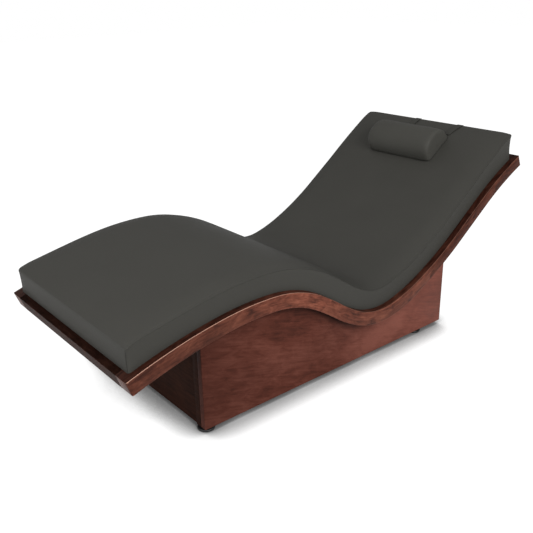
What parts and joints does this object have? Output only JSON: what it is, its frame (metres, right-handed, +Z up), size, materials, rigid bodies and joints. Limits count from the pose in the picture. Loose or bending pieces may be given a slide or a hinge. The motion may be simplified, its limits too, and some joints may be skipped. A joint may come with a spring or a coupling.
{
  "type": "relaxation lounger",
  "caption": "Wave-shaped relaxation lounger: stained wood rail frame on a box base with levelling feet, vinyl mattress that follows the curve, strapped head pillow.",
  "frame": {"origin": "on the floor, below the middle of the lounger's length and width", "axes": "+X to the right seen from the foot, +Y from foot to head, +Z up"},
  "size_m": [0.762, 1.743, 0.6925],
  "materials": {
    "wood_rail": "reddish-brown stain under satin varnish",
    "wood_base": "reddish-brown stain under satin varnish, a little darker",
    "plywood": "bare plywood and softwood",
    "dowel_wood": "bare beech",
    "grip_tape": "fine ribbed grip tape",
    "steel": "zinc plated",
    "brass": "plain brass",
    "foot_plastic": "black moulded plastic",
    "vinyl": "matt charcoal upholstery vinyl with a fine grain",
    "foam": "open-cell foam",
    "underside_cloth": "non-slip woven cloth",
    "strap_vinyl": "folded upholstery vinyl, stitched",
    "loop_tape": "loop tape"
  },
  "bodies": {
    "frame": {"side_rail_left_foot": "wood_rail", "side_rail_left_seat": "wood_rail", "side_rail_left_back": "wood_rail", "side_rail_right_foot": "wood_rail", "side_rail_right_seat": "wood_rail", "side_rail_right_back": "wood_rail", "foot_rail": "wood_rail", "head_rail": "wood_rail", "base_side_left": "wood_base", "base_side_right": "wood_base", "base_foot_panel": "wood_base", "base_head_panel": "wood_base", "post_foot_left": "wood_base", "post_foot_right": "wood_base", "post_head_left": "wood_base", "post_head_right": "wood_base", "deck_panel": "plywood", "batten_foot": "plywood", "batten_calf": "plywood", "batten_knee": "plywood", "batten_seat": "plywood", "batten_back": "plywood", "batten_shoulder": "plywood", "batten_head": "plywood", "bulkhead_knee": "plywood", "bulkhead_seat": "plywood", "bulkhead_back": "plywood", "leveller_block_left": "plywood", "leveller_block_right": "plywood", "rail_dowels": "dowel_wood", "panel_dowels": "dowel_wood", "grip_strips": "grip_tape", "deck_screws": "steel", "deck_brackets": "steel", "bracket_screws": "steel", "leveller_inserts": "brass", "mattress_cover": "vinyl", "mattress_core": "foam", "mattress_underside": "underside_cloth", "pillow_strap_left": "strap_vinyl", "pillow_strap_right": "strap_vinyl", "loop_patch_left": "loop_tape", "loop_patch_right": "loop_tape"},
    "leveller_foot_left": {"leveller_pad_foot_left": "foot_plastic", "leveller_stem_foot_left": "steel"},
    "leveller_foot_right": {"leveller_pad_foot_right": "foot_plastic", "leveller_stem_foot_right": "steel"},
    "leveller_head_left": {"leveller_pad_head_left": "foot_plastic", "leveller_stem_head_left": "steel"},
    "leveller_head_right": {"leveller_pad_head_right": "foot_plastic", "leveller_stem_head_right": "steel"},
    "pillow": {"pillow_cover": "vinyl", "pillow_core": "foam"}
  },
  "joints": [
    {"name": "leveller_foot_left_screw", "type": "slide", "parent": "frame", "child": "leveller_foot_left", "axis": [0, 0, -1], "range_m": [-0.006, 0.02]},
    {"name": "leveller_foot_right_screw", "type": "slide", "parent": "frame", "child": "leveller_foot_right", "axis": [0, 0, -1], "range_m": [-0.006, 0.02]},
    {"name": "leveller_head_left_screw", "type": "slide", "parent": "frame", "child": "leveller_head_left", "axis": [0, 0, -1], "range_m": [-0.006, 0.02]},
    {"name": "leveller_head_right_screw", "type": "slide", "parent": "frame", "child": "leveller_head_right", "axis": [0, 0, -1], "range_m": [-0.006, 0.02]},
    {"name": "pillow_slide", "type": "slide", "parent": "frame", "child": "pillow", "axis": [0, 0.8128, 0.5825], "range_m": [-0.08, 0.02], "deforming": ["pillow_strap_left", "pillow_strap_right"]}
  ]
}
